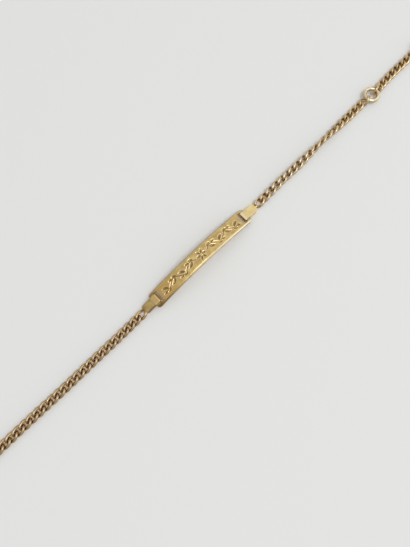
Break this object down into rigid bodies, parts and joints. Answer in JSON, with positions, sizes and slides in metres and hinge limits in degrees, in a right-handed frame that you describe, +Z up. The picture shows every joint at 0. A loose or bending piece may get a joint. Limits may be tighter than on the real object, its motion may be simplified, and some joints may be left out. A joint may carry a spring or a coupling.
{
  "type": "id bracelet",
  "caption": "Slim child's identity bracelet: an arched name plate with a slot at each end, folded tabs, curb chain, a size ring, an end ring and a clasp, lying open.",
  "frame": {"origin": "middle of the bracelet's length and width, on the surface that it lies on", "axes": "+X along the bracelet from the clasp to the end ring, +Y across it, +Z up, out of the plate's face"},
  "size_m": [0.161, 0.0054, 0.0038],
  "materials": {
    "plate_gold": "polished yellow gold, lightly scratched, engraved",
    "tab_gold": "polished yellow gold, worn",
    "chain_gold": "polished yellow gold with dark recesses",
    "ring_gold": "polished yellow gold wire"
  },
  "bodies": {
    "root": {"plate": "plate_gold", "left_tab": "tab_gold", "right_tab": "tab_gold", "left_chain": "chain_gold", "right_chain": "chain_gold", "size_ring": "ring_gold", "outer_chain": "chain_gold", "end_ring": "ring_gold", "clasp": "ring_gold"}
  },
  "joints": []
}
